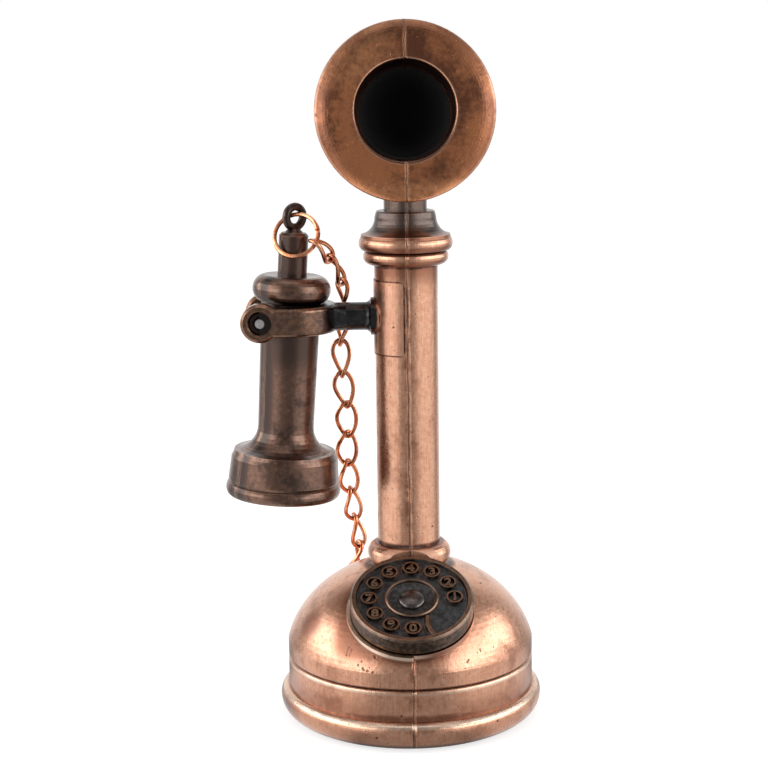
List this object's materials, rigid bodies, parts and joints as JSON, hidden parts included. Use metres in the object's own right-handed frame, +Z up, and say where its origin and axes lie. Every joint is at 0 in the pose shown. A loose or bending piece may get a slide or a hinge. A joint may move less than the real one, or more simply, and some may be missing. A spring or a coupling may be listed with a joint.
{
  "type": "candlestick telephone miniature",
  "caption": "Small cast candlestick telephone with turning dial, lift-off receiver in a forked hook, and twisted link chain.",
  "frame": {"origin": "on the floor, on the axis of the column, at the centre of the round foot", "axes": "+Z up along the column, mouthpiece and dial face -Y, receiver and hook on the -X side, chain down the back left"},
  "size_m": [0.0454, 0.0397, 0.0994],
  "materials": {
    "copper": "antique copper plate on a zinc die casting, blackened and brushed",
    "receiver_copper": "darker antique copper plate on a zinc die casting",
    "black_metal": "glossy black on a zinc die casting, rubbed to brown on its edges",
    "dial_bronze": "blackened bronze, rubbed bright on the raised edges",
    "chain_copper": "bright copper-plated wire",
    "black_liner": "smooth glossy black",
    "rivet_steel": "plain steel"
  },
  "bodies": {
    "stand": {"body_left": "copper", "body_right": "copper", "mouth_funnel": "black_liner", "base_rivet_front": "rivet_steel", "base_rivet_rear": "rivet_steel", "hook_arm": "black_metal", "dial_rivet": "dial_bronze", "link_01": "chain_copper", "link_02": "chain_copper", "link_03": "chain_copper", "link_04": "chain_copper", "link_05": "chain_copper", "link_06": "chain_copper", "link_07": "chain_copper", "link_08": "chain_copper", "link_09": "chain_copper", "link_10": "chain_copper", "link_11": "chain_copper", "link_12": "chain_copper"},
    "dial": {"dial": "dial_bronze"},
    "receiver": {"receiver_front": "receiver_copper", "receiver_rear": "receiver_copper"},
    "ring": {"jump_ring": "chain_copper"}
  },
  "joints": [
    {"name": "dial_turn", "type": "hinge", "parent": "stand", "child": "dial", "pos_m": [0, -0.013, 0.02068], "axis": [0, -0.4462, 0.8949], "continuous": true},
    {"name": "receiver_lift", "type": "slide", "parent": "stand", "child": "receiver", "axis": [-0.9397, 0, 0.342], "range_m": [0, 0.012], "deforming": ["link_01", "link_02", "link_03", "link_04", "link_05", "link_06", "link_07", "link_08", "link_09", "link_10", "link_11", "link_12"]},
    {"name": "ring_swing", "type": "hinge", "parent": "receiver", "child": "ring", "pos_m": [-0.01554, 0, 0.07276], "axis": [-0.9709, 0.1754, -0.1628], "range_deg": [0, 40], "deforming": ["link_01", "link_02", "link_03"]}
  ]
}
